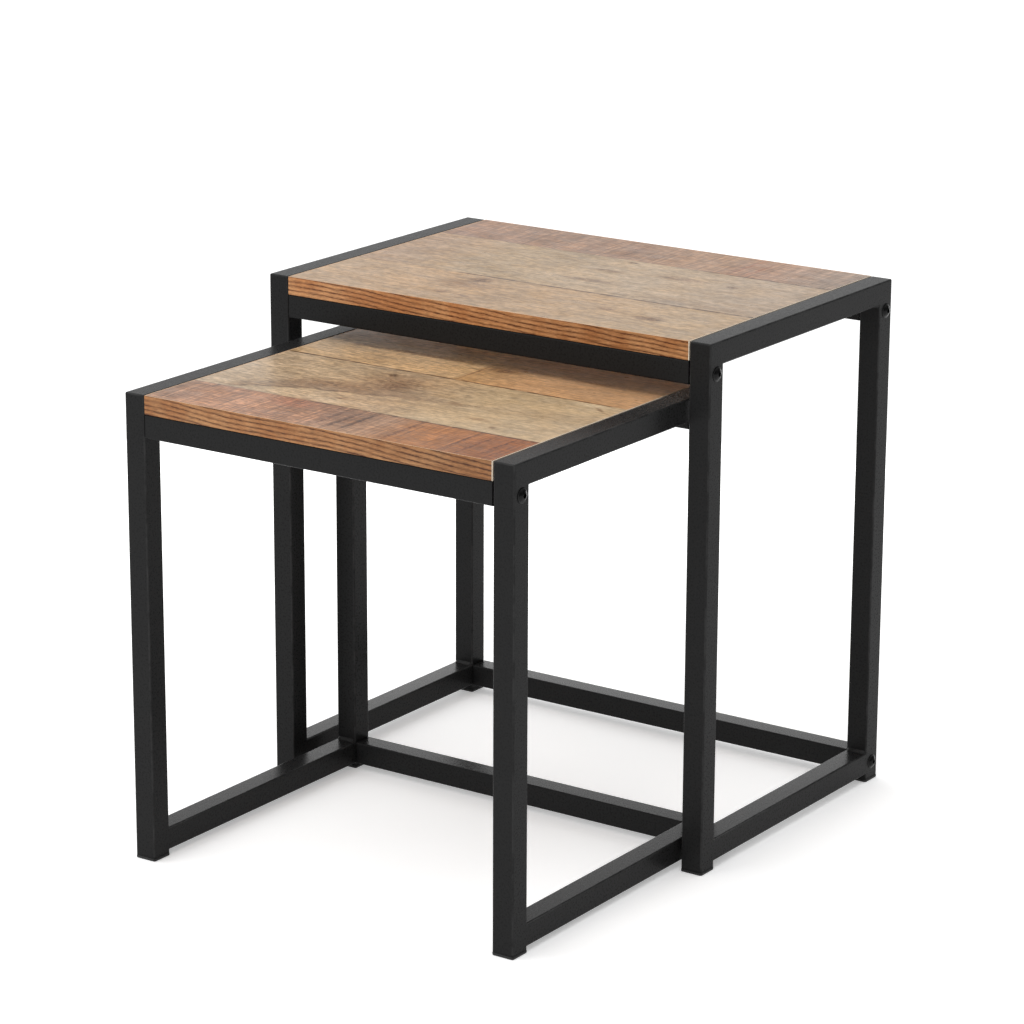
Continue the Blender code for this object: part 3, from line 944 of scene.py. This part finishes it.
def nuts(table):
    """The threaded blocks keep their frame shape, in zinc."""
    for spot in CROSS_TUBES:
        for side in SIDES:
            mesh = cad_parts[f"{table}_{spot}_nut_{side}"].data
            mesh.materials.clear()
            mesh.materials.append(zinc)


# Studio ------------------------------------------------------------------

def floor():
    """Plain white paper that glows a little."""
    bm = bmesh.new()
    bmesh.ops.create_grid(bm, x_segments=1, y_segments=1, size=FLOOR_SIZE)
    mesh = bpy.data.meshes.new("floor")
    bm.to_mesh(mesh)
    bm.free()
    graph = Graph("floor_paper", roughness=0.9, specular=0.1)
    cloud = graph.noise((900, 900, 900), 2.0, 0.5, 121)
    graph.set("Base Color", graph.mix(cloud, (0.94, 0.94, 0.94, 1), (0.96, 0.96, 0.96, 1)))
    graph.set("Emission Color", (1, 1, 1, 1))
    graph.set("Emission Strength", FLOOR_GLOW)
    mesh.materials.append(graph.material)
    obj = bpy.data.objects.new("floor", mesh)
    obj.location.z = -FLOOR_DROP
    bpy.context.scene.collection.objects.link(obj)


def softbox(name, location, size, power, target=(0, 0, 0.3)):
    """A rectangular lamp aimed at the target, itself unseen."""
    lamp = bpy.data.lights.new(name, "AREA")
    lamp.shape = "RECTANGLE"
    lamp.size, lamp.size_y = size
    lamp.energy = power
    obj = bpy.data.objects.new(name, lamp)
    obj.location = location
    obj.rotation_euler = (Vector(target) - Vector(location)).to_track_quat("-Z", "Y").to_euler()
    obj.visible_camera = False
    bpy.context.scene.collection.objects.link(obj)


def studio():
    """White light all round, dimmer low down on the right, and three softboxes."""
    world = bpy.data.worlds.new("studio")
    world.use_nodes = True
    tree = world.node_tree
    background = tree.nodes["Background"]
    direction = tree.nodes.new("ShaderNodeTexCoord").outputs["Generated"]

    def along(axis, start, end):
        """0 to 1 as the direction turns towards the axis, its cosine going from start to end."""
        dot = tree.nodes.new("ShaderNodeVectorMath")
        dot.operation = "DOT_PRODUCT"
        tree.links.new(direction, dot.inputs[0])
        dot.inputs[1].default_value = axis
        fade = tree.nodes.new("ShaderNodeMapRange")
        fade.interpolation_type = "SMOOTHSTEP"
        tree.links.new(dot.outputs["Value"], fade.inputs["Value"])
        fade.inputs["From Min"].default_value = start
        fade.inputs["From Max"].default_value = end
        return fade.outputs[0]

    to_the_right = along((math.sin(DIM_AZIMUTH), -math.cos(DIM_AZIMUTH), 0), -0.15, 0.35)
    low_down = along((0, 0, -1), -0.85, -0.40)
    dim = tree.nodes.new("ShaderNodeMath")
    dim.operation = "MULTIPLY"
    tree.links.new(to_the_right, dim.inputs[0])
    tree.links.new(low_down, dim.inputs[1])
    light = tree.nodes.new("ShaderNodeMapRange")
    tree.links.new(dim.outputs[0], light.inputs["Value"])
    light.inputs["To Min"].default_value = WORLD_LIGHT
    light.inputs["To Max"].default_value = WORLD_LIGHT_DIM
    tree.links.new(light.outputs[0], background.inputs["Strength"])
    background.inputs["Color"].default_value = (1.0, 1.0, 1.0, 1)
    bpy.context.scene.world = world
    softbox("overhead", (-0.2, -0.6, 2.6), (2.4, 2.4), 27)
    softbox("front", (-1.5, -2.6, 1.5), (1.6, 1.2), 9)
    softbox("low_behind", (-0.74, 1.07, 0.23), (1.8, 0.38), 4.5, (0, 0, 0.1))
    bpy.context.scene.view_settings.view_transform = "Standard"


def camera():
    """The camera, turned about Z, tilted down and rolled a little."""
    away = Vector((math.sin(VIEW_AZIMUTH) * math.cos(VIEW_ELEVATION),
                   -math.cos(VIEW_AZIMUTH) * math.cos(VIEW_ELEVATION),
                   math.sin(VIEW_ELEVATION)))
    right = (-away).cross(Vector((0, 0, 1))).normalized()
    up = right.cross(-away)
    level = Matrix((right, up, away)).transposed().to_4x4()
    lens = bpy.data.cameras.new("camera")
    lens.lens = VIEW_LENS
    lens.sensor_width = VIEW_SENSOR
    lens.clip_end = 100
    obj = bpy.data.objects.new("camera", lens)
    obj.matrix_world = (Matrix.Translation(VIEW_TARGET + away * VIEW_DISTANCE) @ level
                        @ Matrix.Rotation(VIEW_ROLL, 4, "Z"))
    bpy.context.scene.collection.objects.link(obj)
    bpy.context.scene.camera = obj


coat = powder_coat()
black_bolt = bolt_finish()
zinc = zinc_finish()
plastic = foot_plastic()
pale_band = end_print()
backing = backing_paper()
bolt_mesh = bolt_shape()
screw_mesh = screw_shape()

for table, spec, seed in (("big", BIG_PRINT_AND_PAINTED_REFLECTION, 200), ("small", SMALL_PRINT_AND_PAINTED_SHADE, 400)):
    board(table, spec, seed)
    for side in SIDES:
        side_frame(table, side)
    for spot in CROSS_TUBES:
        cross_tube(table, spot)
    bolts(table)
    board_screws(table)
    feet(table)
    nuts(table)

floor()
studio()
camera()
